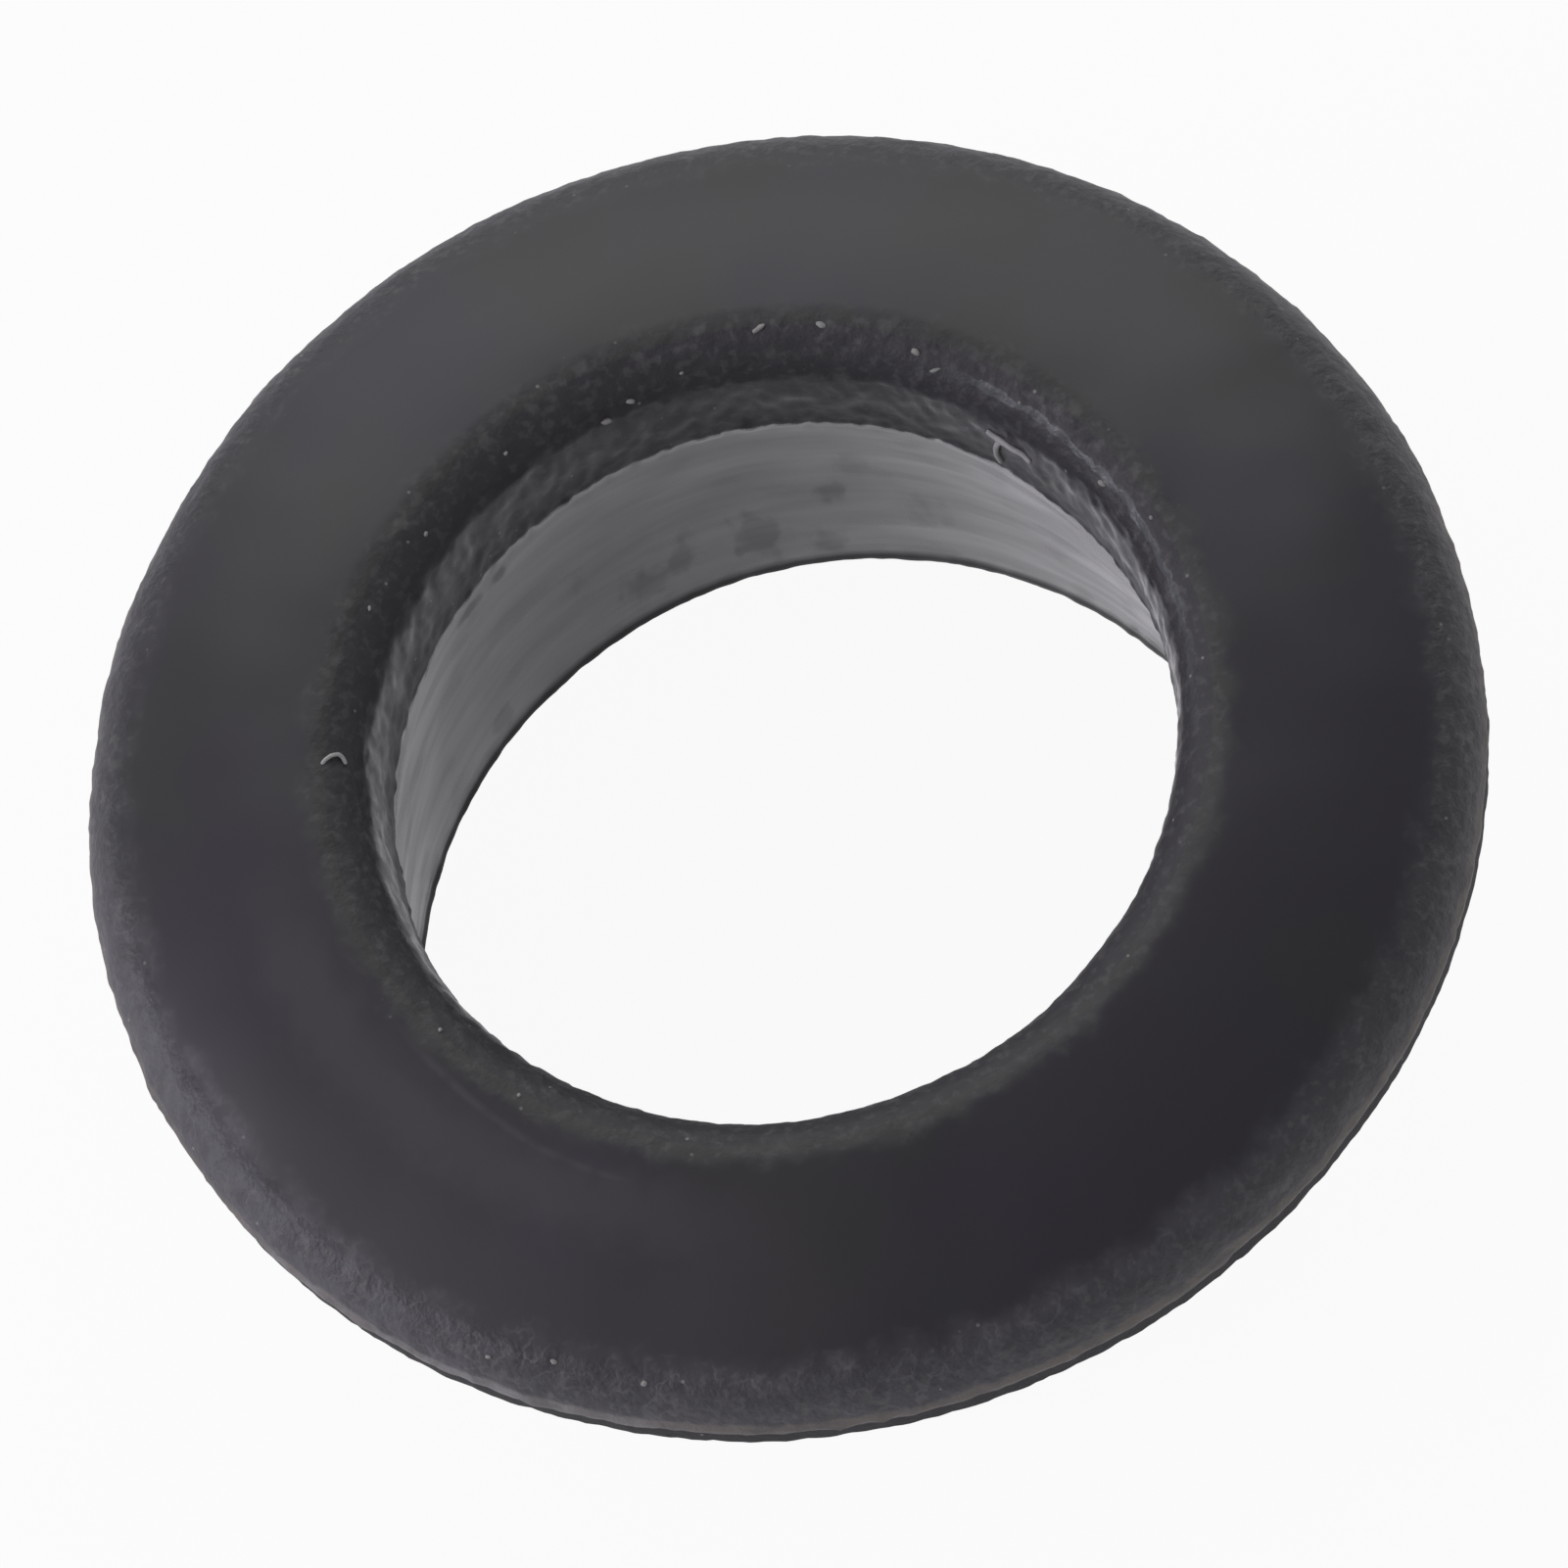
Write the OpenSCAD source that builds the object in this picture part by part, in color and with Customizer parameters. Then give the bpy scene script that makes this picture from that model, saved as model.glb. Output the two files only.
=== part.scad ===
// Door lock knob grommet: a rubber ring moulded in one piece. Its domed flange covers
// the edge of a hole in a door panel, its grooved barrel holds it there, and the lock
// knob slides through its bore.
// Millimetres. The origin is the centre of the bore, in the plane of the flange's flat
// back face. +Z points out of the door, towards the domed face.

/* [Flange] */
// Outside diameter of the flange
flange_d = 22; // [20.5:0.5:26]
// Height of the top of the lip above the flange's back face
crest_h = 1.95; // [1.85:0.05:2.6]
// Height of the straight edge below the parting line of the mould
land_h = 0.3; // [0.2:0.05:0.5]
// Rounding of the outer edge above the parting line
rim_r = 0.9; // [0.6:0.05:1.1]
// Rounding of the corner between the edge and the back face
land_r = 0.12; // [0.05:0.01:0.15]
// Radius of the dome between the rounded edge and the lip
dome_r = 11; // [8:0.5:16]

/* [Bore] */
// Diameter of the straight bore that guides the knob
bore_d = 12.5; // [11.5:0.1:13]
// Length of the straight bore
bore_len = 1; // [0.6:0.1:1.1]
// Depth of the bore's lower edge, at the parting line, below the back face
bore_edge_depth = 0.25; // [0.15:0.05:0.8]
// Draft angle of the mouth between the straight bore and the lip
mouth_draft = 9; // [4:1:12]
// Rounding of the lip round the mouth
lip_r = 0.9; // [0.6:0.05:0.95]

/* [Barrel] */
// Length of the barrel below the flange's back face
barrel_len = 7.5; // [6.5:0.1:11]
// Diameter of the panel's hole, which the floor of the groove fills
panel_hole_d = 16; // [15:0.1:18]
// Thickness of the panel, whose edge sits in the groove
panel_t = 1.5; // [0.8:0.1:2.2]
// Spare width of the groove
groove_play = 0.1; // [0:0.05:0.2]
// Depth of the groove below the barrel's surface
groove_depth = 0.5; // [0.3:0.05:0.6]
// Height of the slope from the groove out to the barrel
shoulder_h = 0.5; // [0.2:0.1:1]
// Length of the taper that leads the barrel into the panel
lead_in_len = 2.4; // [1:0.1:3]
// How far the taper draws the barrel's end in, on the radius
lead_in_depth = 0.45; // [0.1:0.05:0.5]
// Wall of the barrel at its end, which the bore widens to meet
end_wall = 0.8; // [0.6:0.05:1.1]
// Rounding of the barrel's end
end_r = 0.18; // [0.05:0.01:0.2]

/* [Hidden] */

// Steps on an arc, and round the whole ring
arc_steps = 12;
ring_steps = 180;

flange_r = flange_d / 2;
bore_r = bore_d / 2;
groove_r = panel_hole_d / 2;
groove_w = panel_t + groove_play;
barrel_r = groove_r + groove_depth;
end_outer_r = barrel_r - lead_in_depth;
flare_r = end_outer_r - end_wall;

// The straight bore lies between these two heights.
bore_bottom = -bore_edge_depth;
bore_top = bore_bottom + bore_len;

// The mouth opens from the bore's top edge and runs smoothly into the lip.
lip_centre_z = crest_h - lip_r;
lip_start_z = lip_centre_z + lip_r * sin(mouth_draft);
lip_centre = [bore_r + (lip_start_z - bore_top) * tan(mouth_draft)
              + lip_r * cos(mouth_draft), lip_centre_z];
rim_centre = [flange_r - rim_r, land_h];

// Direction, in degrees, of point b as seen from point a
function heading(a, b) = atan2(b[1] - a[1], b[0] - a[0]);

// Points on an arc about a centre, from one angle to another
function arc(centre, radius, from, to) =
    [for (i = [0 : arc_steps])
        let (angle = from + (to - from) * i / arc_steps)
        centre + radius * [cos(angle), sin(angle)]];

// Lower of the two points at distance da from a and db from b, with a to the left of b
function lower_meeting(a, da, b, db) =
    let (gap = norm(b - a),
         along = (gap * gap + da * da - db * db) / (2 * gap),
         across = sqrt(da * da - along * along),
         way = (b - a) / gap)
    a + along * way + across * [way[1], -way[0]];

// The dome touches the lip's rounding and the rim's rounding from above.
dome_centre = lower_meeting(lip_centre, dome_r - lip_r, rim_centre, dome_r - rim_r);
dome_outer_angle = heading(dome_centre, rim_centre);
dome_inner_angle = heading(dome_centre, lip_centre);

// Domed side of the section: rounded corner, straight edge, rim, dome and lip
flange_edge = concat(
    arc([flange_r - land_r, land_r], land_r, -90, 0),
    arc(rim_centre, rim_r, 0, dome_outer_angle),
    arc(dome_centre, dome_r, dome_outer_angle, dome_inner_angle),
    arc(lip_centre, lip_r, dome_inner_angle, 180 - mouth_draft));

// Angles at which the flared bore and the lead-in taper meet the end's roundings
flare_tilt = atan2(flare_r - bore_r, barrel_len - bore_edge_depth);
lead_in_tilt = atan2(lead_in_depth, lead_in_len);

// Inside of the section, down to the barrel's end
bore_edge = concat(
    [[bore_r, bore_top], [bore_r, bore_bottom]],
    arc([flare_r + end_r, end_r - barrel_len], end_r, 180 + flare_tilt, 270));

// Outside of the barrel, from its end up to the flange's back face
barrel_edge = concat(
    arc([end_outer_r - end_r, end_r - barrel_len], end_r, -90, -lead_in_tilt),
    [[barrel_r, lead_in_len - barrel_len],
     [barrel_r, -groove_w - shoulder_h],
     [groove_r, -groove_w],
     [groove_r, 0]]);

module grommet() {
    color("#2a2a2d")
    rotate_extrude($fn = ring_steps)
    polygon(concat(flange_edge, bore_edge, barrel_edge));
}

grommet();
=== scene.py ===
"""Looks of a moulded rubber door lock knob grommet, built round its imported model."""

import math
import random

import bpy
from mathutils import Matrix, Vector


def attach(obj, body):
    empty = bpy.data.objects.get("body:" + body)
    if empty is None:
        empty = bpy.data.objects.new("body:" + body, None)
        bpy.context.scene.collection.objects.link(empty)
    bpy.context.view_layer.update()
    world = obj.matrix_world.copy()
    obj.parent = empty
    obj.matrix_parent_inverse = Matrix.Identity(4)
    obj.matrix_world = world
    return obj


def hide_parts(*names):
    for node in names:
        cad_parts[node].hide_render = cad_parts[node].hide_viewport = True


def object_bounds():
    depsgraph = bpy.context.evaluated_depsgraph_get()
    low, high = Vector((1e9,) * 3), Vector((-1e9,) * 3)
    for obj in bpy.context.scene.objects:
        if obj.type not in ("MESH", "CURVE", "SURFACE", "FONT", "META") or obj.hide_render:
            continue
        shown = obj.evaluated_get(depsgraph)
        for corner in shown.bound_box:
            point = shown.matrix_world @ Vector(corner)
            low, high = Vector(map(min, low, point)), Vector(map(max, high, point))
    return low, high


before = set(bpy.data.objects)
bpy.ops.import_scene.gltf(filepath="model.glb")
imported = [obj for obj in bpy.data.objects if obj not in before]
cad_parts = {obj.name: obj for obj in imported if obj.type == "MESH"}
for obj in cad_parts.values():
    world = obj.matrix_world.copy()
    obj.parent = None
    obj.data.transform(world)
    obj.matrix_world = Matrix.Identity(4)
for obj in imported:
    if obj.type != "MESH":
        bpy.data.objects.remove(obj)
cad_low, cad_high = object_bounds()

# Sizes are in millimetres and angles in degrees. z = 0 is the flange's flat back face.
MM = 0.001

flange_r = cad_high.x / MM
lip_top = cad_high.z / MM
barrel_bottom = cad_low.z / MM

rim_centre_z = 0.3
parting_z = 0.50
land_corner = 0.06
rim_round = 0.9
dome_round = 11
lip_round = 0.9
mouth_draft = 9
bore_r = 6.25
bore_top = 0.75
mouth_bend = 0.4
bore_edge = -0.20
flare_r = 7.25
end_round = 0.18
end_outer_r = 8.05
barrel_r = 8.5
taper_top = -5.1
shoulder_bottom = -2.1
groove_bottom = -1.6
groove_r = 8

# Small forms left by the mould, as distances past a radius and heights over a line:
# the band along the parting line of the flange's edge, the flash round the bore's edge
parting_band = ((-0.04, 0.06), (0, 0), (0.01, -0.07), (-0.005, -0.13))
bore_flash = ((0.015, -0.08), (-0.0072, -0.02), (-0.012, 0.03), (-0.0048, 0.09))
# Bow of the flared bore, and how far the flash of the barrel's end stands into the bore
flare_bow = 0.1
end_flash = 0.05
end_flash_height = 0.07
# Ridge on the lip: its angle on the lip's rounding, its width in degrees, its height
witness_angle = 55
witness_width = 6
witness_height = 0.02

ring_steps = 620


# --- camera ---------------------------------------------------------------------------

view_elevation = 64.48
view_roll = -21.24
view_distance = 132
view_lens = 194.5
view_shift_right = 0.041
view_shift_up = -0.25


def make_camera():
    """Camera above the front of the part, rolled so that the part leans to the left."""
    data = bpy.data.cameras.new("camera")
    data.lens = view_lens
    data.clip_start = 10 * MM
    data.clip_end = 5
    camera = bpy.data.objects.new("camera", data)
    bpy.context.scene.collection.objects.link(camera)
    turn = (Matrix.Rotation(math.radians(90 - view_elevation), 4, "X")
            @ Matrix.Rotation(math.radians(view_roll), 4, "Z"))
    back_off = Vector((view_shift_right, view_shift_up, view_distance)) * MM
    target = Vector((0, 0, rim_centre_z)) * MM
    camera.matrix_world = Matrix.Translation(target + turn.to_3x3() @ back_off) @ turn
    bpy.context.scene.camera = camera


# --- modelling tools ------------------------------------------------------------------

def deselect_all():
    """Leave nothing selected, in object mode."""
    active = bpy.context.object
    if active and active.mode != "OBJECT":
        bpy.ops.object.mode_set(mode="OBJECT")
    bpy.ops.object.select_all(action="DESELECT")


def activate(piece):
    """Select one piece alone."""
    deselect_all()
    piece.select_set(True)
    bpy.context.view_layer.objects.active = piece


def apply_modifier(piece, kind, **settings):
    """Add a modifier with its settings and apply it."""
    activate(piece)
    bpy.ops.object.modifier_add(type=kind)
    modifier = piece.modifiers[-1]
    for name, value in settings.items():
        setattr(modifier, name, value)
    bpy.ops.object.modifier_apply(modifier=modifier.name)


def start_vertex(name, place):
    """A new mesh of one vertex at a place in millimetres, left in edit mode."""
    deselect_all()
    bpy.ops.mesh.primitive_plane_add(size=MM, location=Vector(place) * MM)
    piece = bpy.context.object
    piece.name = name
    bpy.ops.object.transform_apply(location=True, rotation=True, scale=True)
    bpy.ops.object.mode_set(mode="EDIT")
    bpy.ops.mesh.select_mode(type="VERT")
    bpy.ops.mesh.select_all(action="SELECT")
    bpy.ops.mesh.merge(type="CENTER")
    return piece


def extrude_along(places):
    """Extrude the selected vertex from the first place through the others."""
    for here, there in zip(places, places[1:]):
        step = (Vector(there) - Vector(here)) * MM
        bpy.ops.mesh.extrude_region_move(TRANSFORM_OT_translate={"value": step})


def select_vertices(piece, wanted):
    """Select the vertices whose index is wanted, from and to edit mode."""
    bpy.ops.object.mode_set(mode="OBJECT")
    for vertex in piece.data.vertices:
        vertex.select = vertex.index in wanted
    bpy.ops.object.mode_set(mode="EDIT")


# --- the ring's section ---------------------------------------------------------------

def arc(centre, radius, start, end, steps):
    """Points (radius, height) on an arc about a centre, from one angle to another."""
    points = []
    for i in range(steps + 1):
        angle = math.radians(start + (end - start) * i / steps)
        points.append((centre[0] + radius * math.cos(angle),
                       centre[1] + radius * math.sin(angle)))
    return points


def line(start, end, steps):
    """Points after start on a straight line to end."""
    points = []
    for i in range(1, steps + 1):
        points.append((start[0] + (end[0] - start[0]) * i / steps,
                       start[1] + (end[1] - start[1]) * i / steps))
    return points


def bend(start, corner, end, steps):
    """Points after the start on a curve that leaves and ends along a corner's two sides."""
    points = []
    for i in range(1, steps + 1):
        t = i / steps
        points.append(tuple((1 - t) ** 2 * a + 2 * t * (1 - t) * b + t ** 2 * c
                            for a, b, c in zip(start, corner, end)))
    return points


def heading(a, b):
    """Direction of point b as seen from point a."""
    return math.degrees(math.atan2(b[1] - a[1], b[0] - a[0]))


def lower_meeting(a, reach_a, b, reach_b):
    """Lower of the two points at reach_a from a and reach_b from b."""
    gap = math.dist(a, b)
    along = (gap ** 2 + reach_a ** 2 - reach_b ** 2) / (2 * gap)
    across = math.sqrt(reach_a ** 2 - along ** 2)
    way = ((b[0] - a[0]) / gap, (b[1] - a[1]) / gap)
    return (a[0] + along * way[0] + across * way[1],
            a[1] + along * way[1] - across * way[0])


def lip_centre():
    """Centre of the lip's rounding, which runs on from the drafted mouth."""
    draft = math.radians(mouth_draft)
    centre_z = lip_top - lip_round
    start_z = centre_z + lip_round * math.sin(draft)
    centre_r = bore_r + (start_z - bore_top) * math.tan(draft) + lip_round * math.cos(draft)
    return (centre_r, centre_z)


def flare_line(start, end, steps):
    """The flared bore up to its edge, bowed so that it closes in faster near the edge."""
    points = []
    for i, (radius, height) in enumerate(line(start, end, steps), 1):
        share = i / steps
        points.append((radius + flare_bow * share * math.sin(math.pi * share), height))
    return points


def ring_section():
    """Closed outline of the ring's cut: up the bore, over the flange, down the barrel."""
    lip = lip_centre()
    rim = (flange_r - rim_round, rim_centre_z)
    dome = lower_meeting(lip, dome_round - lip_round, rim, dome_round - rim_round)
    inner_end = (flare_r + end_round - end_flash, barrel_bottom + end_round)
    outer_end = (end_outer_r - end_round, barrel_bottom + end_round)
    land_r = flange_r + parting_band[-1][0]
    corner = (land_r - land_corner, land_corner)
    band = [(flange_r + out, parting_z + up) for out, up in parting_band]
    flash = [(bore_r + out, bore_edge + up) for out, up in bore_flash]

    points = arc(inner_end, end_round, 270, 195, 5)
    points += line(points[-1], (flare_r, barrel_bottom + end_round + end_flash_height), 2)
    points += flare_line(points[-1], flash[0], 28)
    points += flash[1:]
    points += line(points[-1], (bore_r, bore_top - mouth_bend), 8)
    crest_angle = heading(dome, lip)
    lip_line = arc(lip, lip_round, 180 - mouth_draft, crest_angle, 24)
    slope = math.tan(math.radians(mouth_draft))
    bend_end = (bore_r + mouth_bend * slope, bore_top + mouth_bend)
    points += bend(points[-1], (bore_r, bore_top), bend_end, 9)
    points += line(points[-1], lip_line[0], 4)
    points += lip_line[1:]
    points += arc(dome, dome_round, crest_angle, crest_angle - 3, 8)[1:]
    points += arc(dome, dome_round, crest_angle - 3, heading(dome, rim), 11)[1:]
    points += arc(rim, rim_round, heading(dome, rim), 20, 14)[1:]
    points += band
    points += arc(corner, land_corner, 0, -90, 4)
    points += line(points[-1], (groove_r, 0), 6)
    points += line(points[-1], (groove_r, groove_bottom), 4)
    points += line(points[-1], (barrel_r, shoulder_bottom), 2)
    points += line(points[-1], (barrel_r, taper_top), 5)
    points += line(points[-1], (end_outer_r, barrel_bottom + end_round), 4)[:-1]
    points += arc(outer_end, end_round, -10, -90, 4)
    return points


def model_ring():
    """The whole grommet: its section drawn by extruding, then spun about the bore."""
    places = [(radius, 0, height) for radius, height in ring_section()]
    piece = start_vertex("rubber_ring", places[0])
    extrude_along(places)
    select_vertices(piece, (0, len(places) - 1))
    bpy.ops.mesh.edge_face_add()
    bpy.ops.mesh.select_all(action="SELECT")
    bpy.ops.mesh.spin(steps=ring_steps, angle=2 * math.pi, center=(0, 0, 0), axis=(0, 0, 1))
    bpy.ops.mesh.select_all(action="SELECT")
    bpy.ops.mesh.remove_doubles(threshold=0.002 * MM)
    bpy.ops.mesh.normals_make_consistent(inside=False)
    bpy.ops.object.mode_set(mode="OBJECT")
    bpy.ops.object.shade_smooth()
    return piece


# --- relief of the moulded surface ----------------------------------------------------

def ramp(value, start, end):
    """Smooth rise from 0 at start to 1 at end."""
    t = min(max((value - start) / (end - start), 0), 1)
    return t * t * (3 - 2 * t)


def lip_zone(radius, height):
    """1 on the rough band between the crest and the straight bore."""
    return ramp(radius, 7.25, 6.85) * ramp(height, 1.25, 1.6)


def throat_zone(radius, height):
    """1 on the rippled wall of the straight bore and the foot of the mouth."""
    return ramp(radius, 6.7, 6.5) * ramp(height, -0.32, -0.2) * ramp(height, 1.6, 1.2)


def flash_zone(radius, height):
    """1 on the thin flash round the bore's lower edge."""
    return ramp(radius, 6.5, 6.35) * ramp(abs(height - bore_edge), 0.14, 0.05)


def rim_zone(radius, height):
    """1 on the grainy band round the flange's edge."""
    return ramp(radius, 10.1, 10.5) * ramp(height, -0.05, 0.05)


def band_zone(radius, height):
    """1 on the band along the parting line of the flange's edge."""
    return ramp(radius, 10.85, 10.95) * ramp(abs(height - parting_z), 0.2, 0.1)


def wall_zone(radius, height):
    """1 on the outside of the barrel."""
    return ramp(radius, 7.9, 8.0) * ramp(height, -0.05, -0.2)


def end_zone(radius, height):
    """1 on the rounded end of the barrel."""
    return ramp(height, barrel_bottom + 0.5, barrel_bottom + 0.1)


relief_zones = {"lip": lip_zone, "throat": throat_zone, "flash": flash_zone,
                "rim": rim_zone, "band": band_zone, "wall": wall_zone, "end": end_zone}


def mark_zones(piece):
    """A vertex group for each zone, weighted by the zone's function."""
    for name, zone in relief_zones.items():
        group = piece.vertex_groups.new(name=name)
        for vertex in piece.data.vertices:
            radius = vertex.co.xy.length / MM
            weight = zone(radius, vertex.co.z / MM)
            if weight > 0.01:
                group.add([vertex.index], weight, "REPLACE")


def rough(piece, zone, size, depth, stretch=(1, 1, 1), layers=1):
    """Lumps of a size and depth pushed in and out over a zone, longer where stretched."""
    texture = bpy.data.textures.new("lumps", "CLOUDS")
    texture.noise_scale = size
    texture.noise_depth = layers
    deselect_all()
    bpy.ops.object.empty_add()
    ruler = bpy.context.object
    ruler.scale = Vector(stretch) * MM
    bpy.context.view_layer.update()
    apply_modifier(piece, "DISPLACE", texture=texture, texture_coords="OBJECT",
                   texture_coords_object=ruler, vertex_group=zone, mid_level=0.5,
                   strength=2 * depth * MM)
    bpy.data.objects.remove(ruler)


def add_relief(piece):
    """Uneven moulding: soft waves all over, lumps and ripples in the rough zones."""
    mark_zones(piece)
    rough(piece, "", 2.5, 0.03)
    rough(piece, "lip", 0.4, 0.025, (1.5, 1.5, 1))
    rough(piece, "lip", 0.22, 0.02)
    rough(piece, "throat", 0.35, 0.035, (1, 1, 1.5))
    rough(piece, "throat", 0.2, 0.02, (1, 1, 1.5))
    rough(piece, "flash", 0.25, 0.035)
    rough(piece, "rim", 0.35, 0.025)
    rough(piece, "rim", 0.15, 0.01)
    rough(piece, "band", 0.25, 0.015)
    rough(piece, "wall", 0.7, 0.012)
    rough(piece, "end", 0.3, 0.02)
    piece.vertex_groups.clear()


def polar(azimuth, radius, height):
    """Place in millimetres from a cylindrical place, with the azimuth in degrees."""
    angle = math.radians(azimuth)
    return Vector((radius * math.cos(angle), radius * math.sin(angle), height))


# Tags of flash on the parting line: azimuth, size from 0 to 1, width in millimetres
flash_tags = ((255.4, 1, 0.16), (258.9, 0.8, 0.12), (187.6, 0.8, 0.2), (230.5, 0.6, 0.2),
              (214, 0.4, 0.3), (300, 0.5, 0.2), (76, 0.5, 0.2), (121, 0.6, 0.15))
tag_length = 0.07
tag_droop = 0.1


def raise_witness(piece):
    """Ridge on the lip where two parts of the mould met, plainest on the right."""
    group = piece.vertex_groups.new(name="witness")
    centre = lip_centre()
    for vertex in piece.data.vertices:
        radius = vertex.co.xy.length / MM
        height = vertex.co.z / MM
        if radius > centre[0] or height < centre[1]:
            continue
        angle = 180 - heading(centre, (radius, height))
        azimuth = math.degrees(math.atan2(vertex.co.y, vertex.co.x))
        away = (angle - witness_angle) / witness_width
        plainness = 0.25 + 0.75 * ramp(azimuth, -40, 0) * ramp(azimuth, 58, 40)
        weight = plainness * math.exp(-away * away)
        if weight > 0.01:
            group.add([vertex.index], weight, "REPLACE")
    apply_modifier(piece, "DISPLACE", vertex_group="witness", mid_level=0,
                   strength=witness_height * MM)
    piece.vertex_groups.clear()


def pull_flash_tags(piece):
    """Small tags of flash, pulled out of the parting line and drooping a little."""
    group = piece.vertex_groups.new(name="tags")
    for azimuth, size, width in flash_tags:
        root = polar(azimuth, flange_r, parting_z)
        for vertex in piece.data.vertices:
            away = vertex.co / MM - root
            across = math.hypot(away.x, away.y) / width
            along = away.z / (0.5 * width)
            weight = size * math.exp(-across * across - along * along)
            if weight > 0.01:
                group.add([vertex.index], weight, "ADD")
    for direction, distance in (("NORMAL", tag_length), ("Z", -tag_droop)):
        apply_modifier(piece, "DISPLACE", vertex_group="tags", direction=direction,
                       mid_level=0, strength=distance * MM)
    piece.vertex_groups.clear()


# --- whiskers, fibre and dust ---------------------------------------------------------

def model_whisker(name, strands, thickness):
    """Thin closed whisker: strands of places drawn as edges, given a skin and smoothed."""
    first = strands[0]
    piece = start_vertex(name, first[0])
    extrude_along(first)
    for strand in strands[1:]:
        bpy.ops.object.mode_set(mode="OBJECT")
        start = Vector(strand[0]) * MM
        near = min(piece.data.vertices, key=lambda vertex: (vertex.co - start).length)
        select_vertices(piece, (near.index,))
        extrude_along(strand)
    bpy.ops.object.mode_set(mode="OBJECT")
    activate(piece)
    bpy.ops.object.modifier_add(type="SKIN")
    for skin in piece.data.skin_vertices[0].data:
        skin.radius = (thickness / 2 * MM, thickness / 2 * MM)
    piece.data.skin_vertices[0].data[0].use_root = True
    bpy.ops.object.modifier_apply(modifier=piece.modifiers[-1].name)
    apply_modifier(piece, "SUBSURF", levels=2, render_levels=2)
    bpy.ops.object.shade_smooth()
    return piece


def seat(ring, place, lift):
    """Place on the ring's surface nearest to a place, lifted off it, in millimetres."""
    _, point, normal, _ = ring.closest_point_on_mesh(Vector(place) * MM)
    return point / MM + normal * lift


def model_flash_whisker(ring):
    """Branched whisker of flash that clings to the bore's wall."""
    stem = [polar(38.2, 6.28, 0.95), polar(37.0, 6.28, 0.92), polar(35.6, 6.27, 0.90),
            polar(33.8, 6.27, 0.88), polar(32.0, 6.26, 0.83), polar(30.3, 6.25, 0.75)]
    branch = [stem[2], polar(36.5, 6.25, 0.70), polar(37.1, 6.25, 0.48),
              polar(37.2, 6.25, 0.25), polar(36.5, 6.25, 0.05)]
    lifts = (0.0, 0.01, 0.02, 0.02, 0.01, 0.0)
    stem = [seat(ring, place, lift) for place, lift in zip(stem, lifts)]
    branch = stem[2:3] + [seat(ring, place, 0.02) for place in branch[1:]]
    return model_whisker("flash_whisker", [stem, branch], 0.11)


def model_lip_fibre(ring):
    """Short curled fibre that lies on the lip."""
    curl = [polar(162.0, 6.97, 1.93), polar(161.3, 6.90, 1.92), polar(160.8, 6.82, 1.89),
            polar(160.5, 6.73, 1.83), polar(160.8, 6.66, 1.79), polar(161.6, 6.60, 1.74)]
    lifts = (0.0, 0.03, 0.05, 0.06, 0.04, 0.0)
    curl = [seat(ring, place, lift) for place, lift in zip(curl, lifts)]
    return model_whisker("lip_fibre", [curl], 0.07)


# Specks of dust: azimuth, radius, height, length, width
dust = ((95.4, 6.34, 1.29, 0.2, 0.11), (91.1, 6.40, 1.44, 0.16, 0.1), (71.6, 6.89, 1.89, 0.24, 0.1),
        (63.3, 6.92, 1.90, 0.18, 0.1), (50.0, 6.74, 1.82, 0.16, 0.1), (46.8, 6.60, 1.70, 0.2, 0.07),
        (17.0, 6.55, 1.66, 0.15, 0.09), (126, 6.63, 1.73, 0.09, 0.07), (139, 6.75, 1.85, 0.1, 0.06),
        (226.5, 10.68, 0.99, 0.1, 0.07), (232.1, 10.48, 1.12, 0.12, 0.08),
        (239.9, 10.54, 1.09, 0.11, 0.09), (110, 6.6, 1.7, 0.08, 0.06), (83, 6.5, 1.6, 0.07, 0.06),
        (8, 6.8, 1.86, 0.08, 0.06), (204, 6.9, 1.9, 0.08, 0.07), (218, 7.0, 1.92, 0.07, 0.06))


def model_dust(ring):
    """Flattened specks of dust that lie on the lip and the rim, mostly along the ring."""
    random.seed(4)
    specks = []
    for azimuth, radius, height, length, width in dust:
        place = seat(ring, polar(azimuth, radius, height), 0.01)
        deselect_all()
        bpy.ops.mesh.primitive_ico_sphere_add(subdivisions=2, radius=0.5 * MM,
                                              location=place * MM)
        speck = bpy.context.object
        turn = math.radians(azimuth + 90) + random.uniform(-0.6, 0.6)
        speck.rotation_euler = (random.uniform(-0.3, 0.3), random.uniform(-0.3, 0.3), turn)
        speck.scale = (length, width, 0.7 * width)
        bpy.ops.object.transform_apply(location=True, rotation=True, scale=True)
        bpy.ops.object.mode_set(mode="EDIT")
        bpy.ops.mesh.select_all(action="SELECT")
        bpy.ops.transform.vertex_random(offset=0.15 * width * MM, seed=len(specks))
        bpy.ops.object.mode_set(mode="OBJECT")
        specks.append(speck)
    for speck in specks:
        speck.select_set(True)
    bpy.ops.object.join()
    piece = bpy.context.object
    piece.name = "dust_specks"
    bpy.ops.object.shade_smooth()
    return piece


# --- materials ------------------------------------------------------------------------

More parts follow.
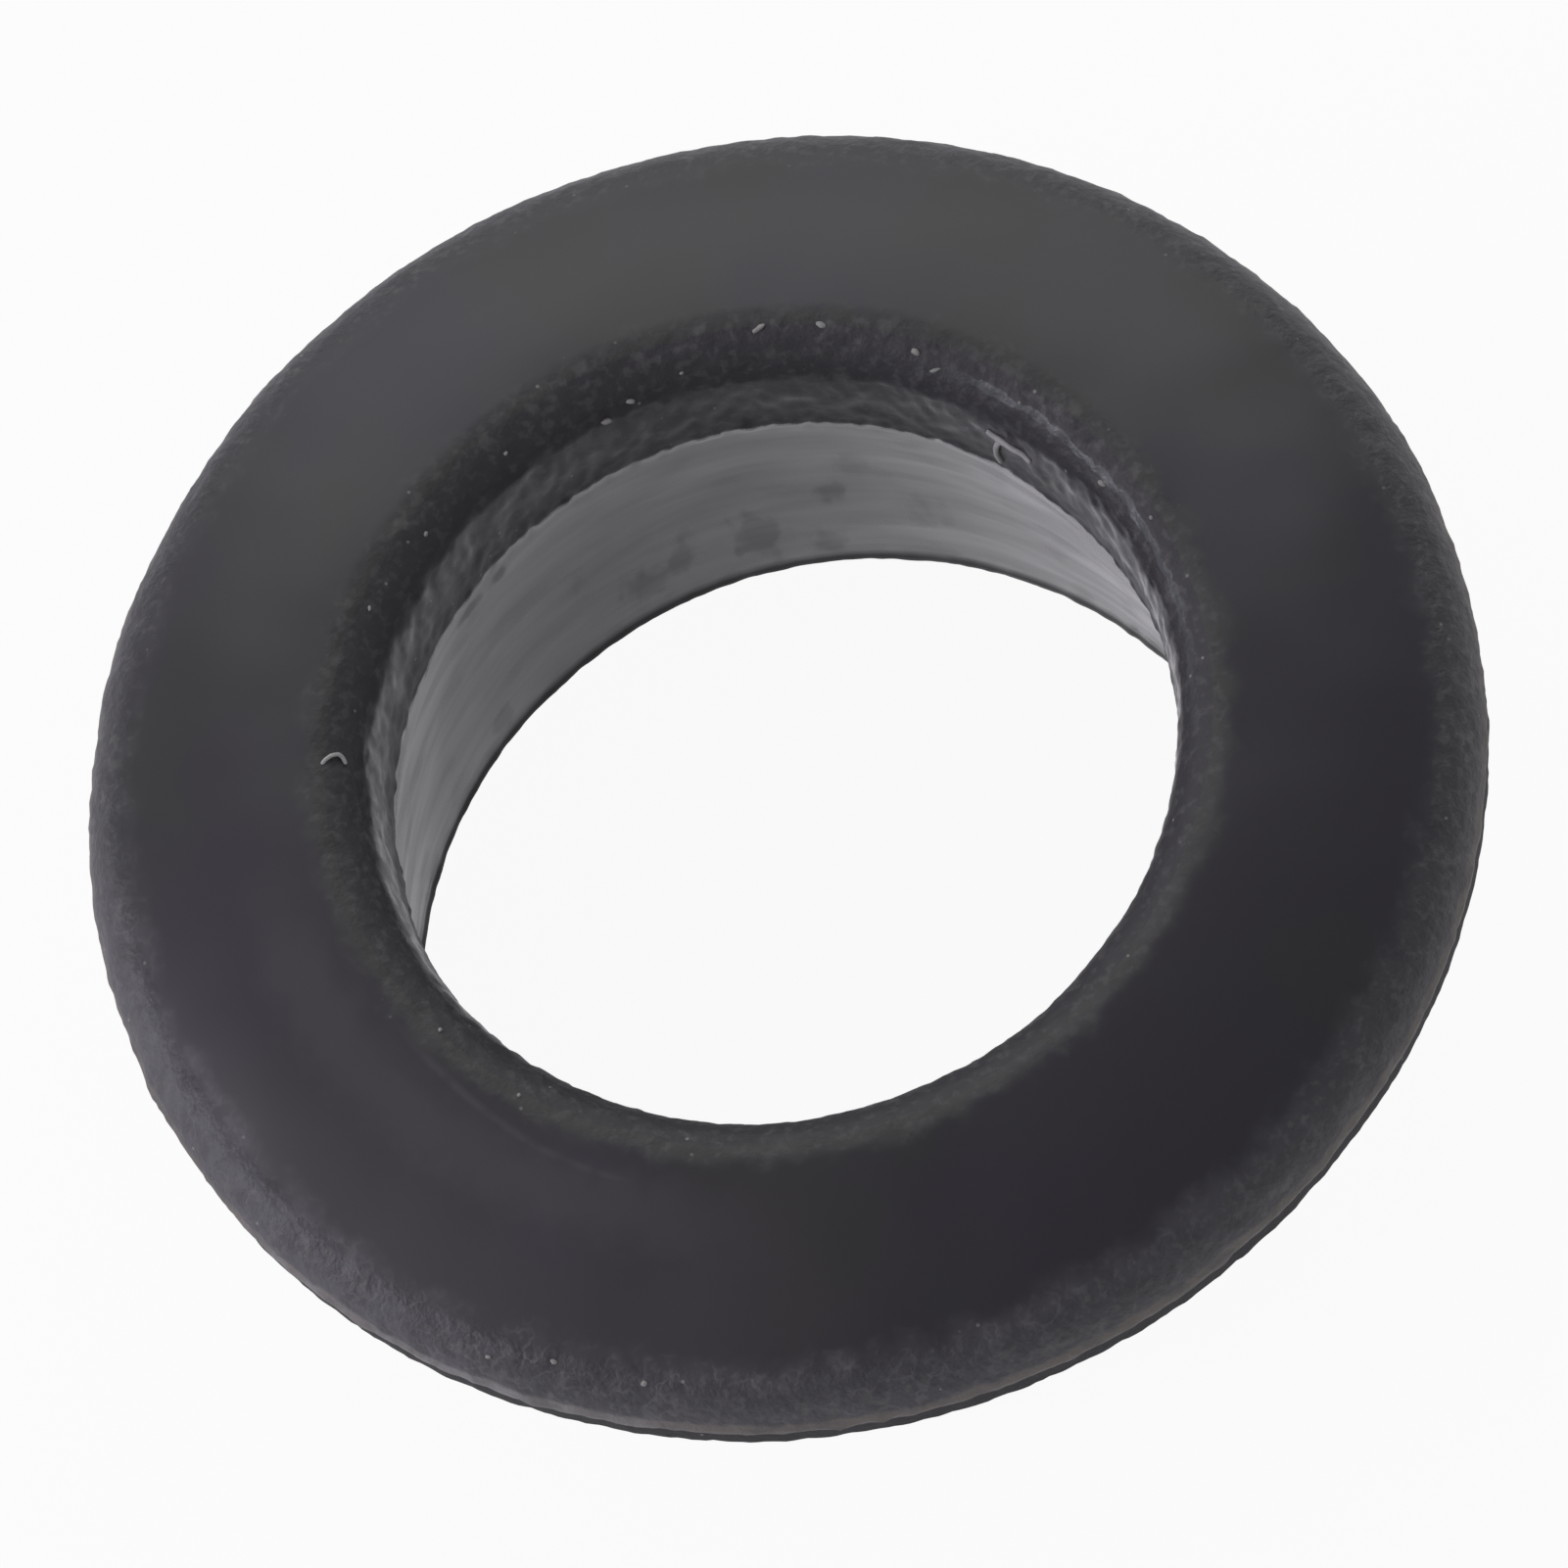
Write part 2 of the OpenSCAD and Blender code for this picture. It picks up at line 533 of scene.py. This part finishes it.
class Graph:
    """Shader nodes of a new material, added by kind and wired as they are made."""

    def __init__(self, name):
        self.material = bpy.data.materials.new(name)
        self.material.use_nodes = True
        self.nodes = self.material.node_tree.nodes
        self.links = self.material.node_tree.links
        self.nodes.clear()

    def node(self, kind, inputs=(), **settings):
        """A node with its settings; each input is given a value or wired to an output."""
        node = self.nodes.new(kind)
        for name, value in settings.items():
            setattr(node, name, value)
        for name, value in dict(inputs).items():
            if isinstance(value, bpy.types.NodeSocket):
                self.links.new(value, node.inputs[name])
            else:
                node.inputs[name].default_value = value
        return node

    def millimetres(self):
        """Place on the piece, in millimetres."""
        place = self.node("ShaderNodeTexCoord").outputs["Object"]
        scale = {0: place, 1: (1 / MM, 1 / MM, 1 / MM)}
        return self.node("ShaderNodeVectorMath", scale, operation="MULTIPLY").outputs[0]

    def math(self, operation, a, b=0.0):
        """One sum."""
        return self.node("ShaderNodeMath", {0: a, 1: b}, operation=operation).outputs[0]

    def product(self, first, *others):
        """Product of masks."""
        result = first
        for other in others:
            result = self.math("MULTIPLY", result, other)
        return result

    def vector(self, operation, a, b=(0, 0, 0)):
        """One vector sum whose result is a number."""
        node = self.node("ShaderNodeVectorMath", {0: a, 1: b}, operation=operation)
        return node.outputs["Value"]

    def ramp(self, value, start, end, low=0.0, high=1.0):
        """Smooth change from low, where the value is start, to high, where it is end."""
        inputs = {"Value": value, "From Min": start, "From Max": end,
                  "To Min": low, "To Max": high}
        kind = "ShaderNodeMapRange"
        return self.node(kind, inputs, interpolation_type="SMOOTHSTEP").outputs[0]

    def stretched(self, place, scale):
        """Place scaled along each axis."""
        inputs = {0: place, 1: scale}
        return self.node("ShaderNodeVectorMath", inputs, operation="MULTIPLY").outputs[0]

    def noise(self, place, size, detail=2.0, roughness=0.5):
        """Cloudy noise with lumps of a size in millimetres."""
        inputs = {"Vector": place, "Scale": 1 / size, "Detail": detail,
                  "Roughness": roughness}
        return self.node("ShaderNodeTexNoise", inputs).outputs["Fac"]

    def mix(self, factor, a, b):
        """Colour a, turning to colour b as the factor rises."""
        node = self.node("ShaderNodeMix", data_type="RGBA")
        for socket, value in ((node.inputs[0], factor), (node.inputs[6], a),
                              (node.inputs[7], b)):
            if isinstance(value, bpy.types.NodeSocket):
                self.links.new(value, socket)
            else:
                socket.default_value = value
        return node.outputs[2]

    def finish(self, shader):
        """Wire the last shader to the surface."""
        output = self.node("ShaderNodeOutputMaterial")
        self.links.new(shader.outputs[0], output.inputs["Surface"])
        return self.material


face_colour = (0.0290, 0.0280, 0.0300, 1)
tint_colour = (0.0290, 0.0262, 0.0350, 1)
lip_colour = (0.0355, 0.0335, 0.0385, 1)
crest_colour = (0.0435, 0.0440, 0.0425, 1)
rim_colour = (0.046, 0.044, 0.050, 1)
# Painted highlight: lighter colour on the rim's left and front, where the lamps light it
rim_painted_highlight_colour = (0.080, 0.077, 0.090, 1)
strand_colour = (0.125, 0.122, 0.130, 1)
flare_colour = (0.030, 0.0285, 0.0315, 1)
grain_colour = (0.098, 0.096, 0.097, 1)
# Painted highlight along the lip's ridge, lighter than the rubber
ridge_painted_highlight_colour = (0.088, 0.094, 0.102, 1)
# Painted sheen on the dome, also the colour of the scratches on the barrel's outside
painted_sheen_and_scratch_colour = (0.060, 0.056, 0.064, 1)
seam_colour = (0.140, 0.126, 0.118, 1)
pale_seam_colour = (0.23, 0.225, 0.235, 1)
# Painted shade: darker colour below the flange's parting line and on the barrel's end
painted_shade_colour = (0.020, 0.019, 0.021, 1)
scuff_colour = (0.012, 0.0115, 0.013, 1)
speck_colour = (0.22, 0.21, 0.20, 1)

# Scuffs inside the barrel: azimuth, height, width, length, darkness
scuffs = ((81.5, -5.5, 0.9, 2.2, 1), (92, -5.5, 0.6, 2.0, 0.9), (98, -5.9, 1.0, 1.8, 0.9),
          (69.5, -4.0, 0.5, 1.2, 0.9), (57.5, -4.6, 0.9, 1.6, 0.45), (64.5, -2.8, 0.5, 1.3, 0.5),
          (119, -0.9, 0.5, 0.6, 0.8), (125.5, -0.9, 0.6, 0.5, 0.7), (124, -6.4, 0.6, 0.8, 0.6),
          (73, -6.4, 0.8, 1.2, 0.6), (107, -4.3, 0.4, 1.4, 0.35))


class Zones:
    """Masks of the ring's finishes and of its painted highlights and shade, from the distance to
    the axis, the height and the azimuth.
    """

    def __init__(self, graph, place):
        split = graph.node("ShaderNodeSeparateXYZ", {0: place}).outputs
        self.graph = graph
        self.place = place
        self.right = split["X"]
        self.back = split["Y"]
        self.height = split["Z"]
        azimuth = graph.math("ARCTAN2", self.back, self.right)
        self.azimuth = graph.math("MULTIPLY", azimuth, 180 / math.pi)
        self.radius = graph.vector("LENGTH", graph.stretched(place, (1, 1, 0)))
        self.wobble = graph.noise(place, 0.5)
        self.cloud = graph.noise(place, 0.38)
        self.ragged = self.swayed(self.radius, self.wobble, 0.12)
        self.waved = self.swayed(self.height, self.wobble, 0.03)
        self.mark_lip()
        self.mark_rim()
        self.mark_parting()
        self.mark_dome()
        self.mark_barrel()

    def swayed(self, value, noise, reach):
        """A value swayed by a noise, up to a reach either way."""
        return self.graph.math("ADD", value, self.graph.ramp(noise, 0.3, 0.7, -reach, reach))

    def distance(self, value, mark):
        """How far a value is from a mark."""
        return self.graph.math("ABSOLUTE", self.graph.math("SUBTRACT", value, mark))

    def towards(self, azimuth):
        """Distance out from the axis towards an azimuth."""
        return self.graph.vector("DOT_PRODUCT", self.place, tuple(polar(azimuth, 1, 0)))

    def mark_lip(self):
        """Rough lip with its paler crest, the ridge on its right with a painted highlight along it,
        and the polished bore.
        """
        ramp = self.graph.ramp
        product = self.graph.product
        above_edge = ramp(self.height, bore_edge - 0.02, bore_edge + 0.03)
        self.lip = product(ramp(self.ragged, 7.45, 6.85), above_edge)
        self.smooth_lip = product(ramp(self.radius, 7.4, 6.9), above_edge)
        crest_edge = self.swayed(self.radius, self.wobble, 0.02)
        self.crest = product(self.lip, ramp(crest_edge, 6.91, 6.95))
        self.brim = product(ramp(self.radius, 6.72, 6.86), ramp(self.radius, 7.2, 7.05),
                            ramp(self.back, -1, 3, 0.2, 1))
        beside = ramp(self.graph.math("ABSOLUTE", self.right), 5.4, 6.3, 0, 0.2)
        polish_top = self.graph.math("SUBTRACT", self.height, beside)
        self.bore = product(self.lip, ramp(polish_top, 1.5, 1.1))
        # The ridge's mask also carries its painted highlight, faded out past the right
        lumpy = self.swayed(self.height, self.cloud, 0.03)
        self.witness = product(ramp(lumpy, 1.675, 1.70), ramp(lumpy, 1.81, 1.785),
                               ramp(self.radius, 6.95, 6.9),
                               ramp(self.azimuth, -30, 5), ramp(self.azimuth, 47, 38),
                               ramp(self.cloud, 0.35, 0.55, 0.4, 1))

    def mark_rim(self):
        """Grainy rim with a painted highlight on the left and the front, and strands there."""
        ramp = self.graph.ramp
        self.rim = ramp(self.ragged, 9.95, 10.65)
        self.smooth_rim = ramp(self.radius, 10.0, 10.6)
        self.grainy = self.graph.math("MAXIMUM", self.lip, self.rim)
        # Painted highlight on the rim, towards the lower left and the front
        rim_painted_highlight = self.graph.math("MAXIMUM", ramp(self.towards(198), 8.6, 10.3),
                               ramp(self.back, -7, -10, 0, 0.4))
        self.rim_painted_highlight = self.graph.product(self.rim, rim_painted_highlight, ramp(self.cloud, 0.35, 0.6, 0.45, 1.1))
        self.stranded = self.graph.product(ramp(self.towards(222), 3, 9, 0.12, 1),
                                           ramp(self.wobble, 0.4, 0.6, 0.3, 1))

    def mark_parting(self):
        """Pale seam along the parting line of the flange's edge, and the land below, painted dark
        as shade.
        """
        ramp = self.graph.ramp
        product = self.graph.product
        edge = ramp(self.radius, flange_r - 0.17, flange_r - 0.13)
        land_top = parting_z - 0.14
        seam_bottom = parting_z - 0.11
        self.seam = product(edge, ramp(self.waved, land_top, seam_bottom),
                            ramp(self.waved, parting_z + 0.14, parting_z + 0.04),
                            ramp(self.cloud, 0.3, 0.6, 0.55, 1))
        self.pale_seam = product(self.seam, ramp(self.towards(222), 9.9, 10.8),
                                 ramp(self.wobble, 0.35, 0.6, 0.4, 1))
        # The land's mask also paints shade below the flange's edge
        self.land = product(edge, ramp(self.waved, seam_bottom, land_top))

    def mark_dome(self):
        """Painted sheen on the front left of the dome: a lighter line beside the crest and a soft
        lighter glow.
        """
        ramp = self.graph.ramp
        product = self.graph.product
        along_crest = ramp(self.azimuth, -161, -125, 7.34, 7.68)
        streak = product(ramp(self.distance(self.radius, along_crest), 0.13, 0.0),
                         ramp(self.wobble, 0.35, 0.6, 0.4, 1),
                         ramp(self.azimuth, -165, -150), ramp(self.azimuth, -121, -128, 0, 0.8))
        glow_share = self.graph.math("DIVIDE", self.towards(212), self.radius)
        glow = product(ramp(self.distance(self.ragged, 8.1), 0.9, 0.1),
                       ramp(glow_share, 0.76, 0.92, 0, 0.5))
        self.sheen = self.graph.math("MAXIMUM", streak, glow)

    def mark_barrel(self):
        """Flared bore with its scuffs, painted shade on the barrel's end, and the barrel's worn
        outside.
        """
        ramp = self.graph.ramp
        product = self.graph.product
        below_edge = ramp(self.height, bore_edge, bore_edge - 0.05)
        self.barrel = product(below_edge, ramp(self.radius, 7.8, 7.6))
        self.scuffs = product(self.patches(), self.barrel)
        # Painted shade along the barrel's end, faded out towards the right
        self.end = product(ramp(self.height, barrel_bottom + 0.3, barrel_bottom + 0.22),
                           ramp(self.right, 4.5, 2.0, 0, 0.8))
        self.wall = product(below_edge, ramp(self.radius, 7.6, 7.8))
        from_edge = self.graph.math("MINIMUM", self.distance(self.waved, shoulder_bottom),
                                    self.distance(self.waved, taper_top))
        self.wear = product(self.wall, ramp(from_edge, 0.16, 0.0, 0, 0.45),
                            ramp(self.wobble, 0.4, 0.7))
        thread = self.graph.noise(self.graph.stretched(self.place, (0.25, 0.25, 3)), 0.35)
        self.scratches = product(self.wall, ramp(thread, 0.6, 0.68, 0, 0.8),
                                 ramp(self.graph.noise(self.place, 2.5), 0.45, 0.6))

    def patches(self):
        """Soft ragged smears round the places of the scuffs, and faint clouds between them."""
        graph = self.graph
        coarse = graph.noise(self.place, 0.9, 1.0)
        fine = graph.noise(graph.stretched(self.place, (1, 1, 0.25)), 0.3, 1.0)
        warp = self.swayed(graph.ramp(coarse, 0.3, 0.7, -0.3, 0.3), fine, 0.3)
        patches = 0.0
        for azimuth, height, width, length, darkness in scuffs:
            share = (bore_edge - height) / (bore_edge - barrel_bottom)
            centre = polar(azimuth, bore_r + (flare_r - bore_r) * share, height)
            measure = (2 / width, 2 / width, 2 / length)
            away = graph.vector("DISTANCE", graph.stretched(self.place, measure),
                                centre * Vector(measure))
            away = graph.math("ADD", away, warp)
            patches = graph.math("MAXIMUM", patches, graph.ramp(away, 1.5, 0.4, 0, darkness))
        return graph.math("ADD", patches, graph.ramp(coarse, 0.48, 0.68, 0, 0.3))


# Coats of colour under the grains and over them, among them painted highlights, sheen and shade:
# the mask and the colour, in order
under_coats = (("sheen", painted_sheen_and_scratch_colour), ("lip", lip_colour), ("crest", crest_colour),
               ("rim", rim_colour), ("rim_painted_highlight", rim_painted_highlight_colour))
over_coats = (("witness", ridge_painted_highlight_colour), ("barrel", flare_colour), ("scuffs", scuff_colour),
              ("scratches", painted_sheen_and_scratch_colour), ("wear", grain_colour), ("end", painted_shade_colour),
              ("seam", seam_colour), ("pale_seam", pale_seam_colour), ("land", painted_shade_colour))
# Cells of pale specks to the millimetre, few of which hold one
speck_density = 3.6

# Roughness of the dome, and how much each mask adds to it
dome_roughness = 0.38
roughness_steps = (("rim", 0.14), ("lip", 0.2), ("barrel", -0.16), ("wall", 0.06),
                   ("witness", -0.2), ("scuffs", 0.16))
# Height of the finest grain, in millimetres
grain_height = 0.03


def coated(graph, zones, colour, coats):
    """A colour under coats, each a mask's name and a colour."""
    for name, coat in coats:
        colour = graph.mix(getattr(zones, name), colour, coat)
    return colour


def rubber_colour(graph, place, zones):
    """Near-black, paler on the grainy rim, with pale grains, specks and dark scuffs, painted
    highlights on the dome, the rim's left and the lip's ridge, and painted shade below the flange's
    edge and at the barrel's end.
    """
    tint = graph.ramp(graph.noise(place, 3.5), 0.4, 0.6)
    colour = graph.mix(tint, face_colour, tint_colour)
    colour = coated(graph, zones, colour, under_coats)
    grains = graph.product(graph.ramp(graph.noise(place, 0.17), 0.5, 0.7, 0, 0.6),
                           graph.ramp(zones.lip, 0, 1, 1, 0.7), zones.grainy)
    colour = graph.mix(grains, colour, grain_colour)
    lumps = graph.product(graph.ramp(zones.cloud, 0.54, 0.68, 0, 0.5), zones.brim)
    colour = graph.mix(lumps, colour, grain_colour)
    fold = graph.math("ABSOLUTE", graph.math("SUBTRACT", graph.noise(place, 0.45), 0.5))
    strands = graph.product(graph.ramp(fold, 0.045, 0.0, 0, 0.5), zones.rim,
                            zones.stranded)
    colour = graph.mix(strands, colour, strand_colour)
    colour = coated(graph, zones, colour, over_coats)
    dots = graph.node("ShaderNodeTexVoronoi", {"Vector": place, "Scale": speck_density})
    chance = graph.node("ShaderNodeSeparateColor", {0: dots.outputs["Color"]}).outputs[0]
    specks = graph.product(graph.ramp(chance, 0.8, 0.84), zones.grainy,
                           graph.ramp(dots.outputs["Distance"], 0.14, 0.06))
    return graph.mix(specks, colour, speck_colour)


def rubber_roughness(graph, zones, streaks):
    """Satin dome, matt lip, rim and land, polished bore and barrel."""
    polish = graph.product(zones.bore, graph.ramp(zones.height, 0, 1.0, 0.05, 0.34),
                           graph.ramp(zones.cloud, 0.35, 0.65, 0.6, 1.15))
    roughness = graph.math("SUBTRACT", dome_roughness, polish)
    for name, step in roughness_steps:
        roughness = graph.math("ADD", roughness, graph.ramp(getattr(zones, name), 0, 1, 0, step))
    worn = graph.math("MAXIMUM", zones.wear, zones.scratches)
    roughness = graph.math("ADD", roughness, graph.ramp(worn, 0, 1, 0, 0.1))
    streaked = graph.product(zones.barrel, graph.ramp(streaks, 0.35, 0.65, -0.04, 0.04))
    roughness = graph.math("ADD", roughness, streaked)
    matt = graph.math("MAXIMUM", zones.land, zones.end)
    return graph.math("ADD", roughness, graph.ramp(matt, 0, 1, 0, 0.3))


def rubber_relief(graph, place, zones, streaks):
    """Height of the grain and the streaks that are too fine for the mesh."""
    grain = graph.noise(place, 0.13, 2.5, 0.6)
    grainy = graph.math("MAXIMUM", graph.math("MULTIPLY", zones.smooth_lip, 0.6),
                        zones.smooth_rim)
    calm = graph.math("MAXIMUM", graph.ramp(zones.height, 1.6, 1.3), zones.barrel)
    calm = graph.product(calm, graph.ramp(zones.smooth_rim, 0, 1, 1, 0))
    depth = graph.product(graph.ramp(grainy, 0, 1, 0.05, 1.1),
                          graph.ramp(calm, 0, 1, 1, 0.12))
    depth = graph.math("ADD", depth, graph.ramp(zones.wall, 0, 1, 0, 0.35))
    grain = graph.product(grain, depth)
    return graph.math("ADD", grain, graph.product(streaks, zones.barrel, 0.3))


def rubber_material():
    """Black moulded rubber: a satin dome, grainy lip and rim, a streaked inner barrel."""
    graph = Graph("moulded_rubber")
    place = graph.millimetres()
    zones = Zones(graph, place)
    streaks = graph.noise(graph.stretched(place, (1, 1, 4)), 2.4, 1.5)
    bump = graph.node("ShaderNodeBump",
                      {"Height": rubber_relief(graph, place, zones, streaks),
                       "Distance": grain_height * MM, "Strength": 1.0})
    shader = graph.node("ShaderNodeBsdfPrincipled",
                        {"Base Color": rubber_colour(graph, place, zones),
                         "Roughness": rubber_roughness(graph, zones, streaks),
                         "IOR": 1.5, "Specular IOR Level": 0.5,
                         "Normal": bump.outputs[0]})
    return graph.finish(shader)


def lint_material(name, dark, light):
    """Pale matt fibre, flash or dust."""
    graph = Graph(name)
    place = graph.millimetres()
    mottle = graph.noise(place, 0.15)
    colour = graph.mix(mottle, dark, light)
    shader = graph.node("ShaderNodeBsdfPrincipled", {"Base Color": colour, "Roughness": 0.6})
    return graph.finish(shader)


# --- floor, lamps and world -----------------------------------------------------------

# How much of the floor glows plain white, over the matt part that takes the shadow
floor_glow = 0.94
floor_white = (0.85, 0.85, 0.85, 1)
glow_white = (1, 1, 1, 1)
mirrored_white = (0.97, 0.95, 1.0, 1)
# The floor lies just below the lowest lump of the barrel's end
floor_gap = 0.04


def floor_material():
    """White floor that keeps a faint shadow of the part; as reflections see it, it is a little
    darker, with painted shade inside and near the barrel.
    """
    graph = Graph("white_floor")
    path = graph.node("ShaderNodeLightPath")
    seen = graph.math("MAXIMUM", path.outputs["Is Camera Ray"], path.outputs["Is Glossy Ray"])
    seen = graph.math("MAXIMUM", seen, path.outputs["Is Transmission Ray"])
    place = graph.millimetres()
    radius = graph.vector("LENGTH", graph.stretched(place, (1, 1, 0)))
    side = graph.node("ShaderNodeSeparateXYZ", {0: place}).outputs["X"]
    mirrored = graph.math("SUBTRACT", seen, path.outputs["Is Camera Ray"])
    # Painted shade on the floor, seen only in reflections: inside the barrel, deepest at the centre
    # and on the left
    inside = graph.math("MULTIPLY", mirrored, graph.ramp(radius, 8.3, 7.9))
    centre = graph.ramp(radius, 5, 2.5, 0, 0.2)
    shade = graph.math("ADD", graph.ramp(side, -3.5, 6, 0.42, 0.05), centre)
    shade = graph.math("MULTIPLY", inside, shade)
    # Painted shade on the floor just outside the barrel, seen only in reflections
    near = graph.product(mirrored, graph.ramp(radius, 8, 8.4), graph.ramp(radius, 26, 13, 0, 0.5))
    share = graph.math("SUBTRACT", graph.math("MULTIPLY", seen, floor_glow), shade)
    share = graph.math("SUBTRACT", share, near)
    matt = graph.node("ShaderNodeBsdfDiffuse", {"Color": floor_white})
    white = graph.mix(mirrored, glow_white, mirrored_white)
    glow = graph.node("ShaderNodeEmission", {"Color": white, "Strength": 1.0})
    mixed = graph.node("ShaderNodeMixShader", {0: share, 1: matt.outputs[0],
                                               2: glow.outputs[0]})
    return graph.finish(mixed)


def make_floor():
    """Round floor under the barrel's end."""
    deselect_all()
    bpy.ops.mesh.primitive_circle_add(vertices=96, radius=2.5, fill_type="NGON",
                                      location=(0, 0, (barrel_bottom - floor_gap) * MM))
    floor = bpy.context.object
    floor.name = "floor"
    bpy.ops.object.transform_apply(location=True, rotation=True, scale=True)
    floor.data.materials.append(floor_material())


# Softboxes: azimuth and elevation in degrees, width and height, radiance, colour
softboxes = {"back_softbox": (80, 40, 545, 330, 1.35, (1, 1, 1)),
             "left_softbox": (182, 60, 380, 320, 0.62, (0.92, 0.80, 1.0)),
             "low_left_softbox": (172, 26, 280, 230, 4.3, (0.92, 0.88, 1.0))}
softbox_distance = 500
# Brightness of the surroundings at the horizon and overhead, reached at this steepness
horizon_light = 0.8
overhead_light = 0.2
overhead_from = 0.7


def softbox(name, azimuth, elevation, width, height, radiance, colour):
    """Rectangular lamp that faces the part from a direction."""
    data = bpy.data.lights.new(name, "AREA")
    data.shape = "RECTANGLE"
    data.size = width * MM
    data.size_y = height * MM
    data.energy = radiance * math.pi * width * height * MM * MM
    data.color = colour
    lamp = bpy.data.objects.new(name, data)
    bpy.context.scene.collection.objects.link(lamp)
    reach = math.cos(math.radians(elevation))
    place = polar(azimuth, reach, math.sin(math.radians(elevation))) * softbox_distance * MM
    lamp.location = place
    lamp.rotation_euler = place.to_track_quat("Z", "Y").to_euler()


def make_world():
    """Soft surroundings, pale at the horizon and darker overhead."""
    world = bpy.data.worlds.new("surroundings")
    world.use_nodes = True
    nodes = world.node_tree.nodes
    links = world.node_tree.links
    direction = nodes.new("ShaderNodeTexCoord")
    split = nodes.new("ShaderNodeSeparateXYZ")
    fade = nodes.new("ShaderNodeMapRange")
    fade.interpolation_type = "SMOOTHSTEP"
    fade.inputs["From Min"].default_value = 0
    fade.inputs["From Max"].default_value = overhead_from
    fade.inputs["To Min"].default_value = horizon_light
    fade.inputs["To Max"].default_value = overhead_light
    links.new(direction.outputs["Generated"], split.inputs[0])
    links.new(split.outputs["Z"], fade.inputs["Value"])
    links.new(fade.outputs[0], nodes["Background"].inputs["Color"])
    nodes["Background"].inputs["Strength"].default_value = 1
    bpy.context.scene.world = world


def light_scene():
    """Softboxes behind and to the left, over a white floor."""
    for name, values in softboxes.items():
        softbox(name, *values)
    make_world()


# --- build ----------------------------------------------------------------------------

def dress(piece, material):
    """Give a piece its material, and let it move with the part."""
    piece.data.materials.clear()
    piece.data.materials.append(material)
    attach(piece, "root")


make_camera()
make_floor()
light_scene()

ring = model_ring()
raise_witness(ring)
add_relief(ring)
pull_flash_tags(ring)
dress(ring, rubber_material())
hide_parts("grommet")

lint = lint_material("pale_lint", (0.34, 0.34, 0.35, 1), (0.55, 0.54, 0.53, 1))
dust_grey = lint_material("dust_grey", (0.20, 0.20, 0.20, 1), (0.38, 0.37, 0.36, 1))
dress(model_flash_whisker(ring), lint)
dress(model_lip_fibre(ring), lint)
dress(model_dust(ring), dust_grey)

bpy.context.scene.view_settings.view_transform = "Standard"
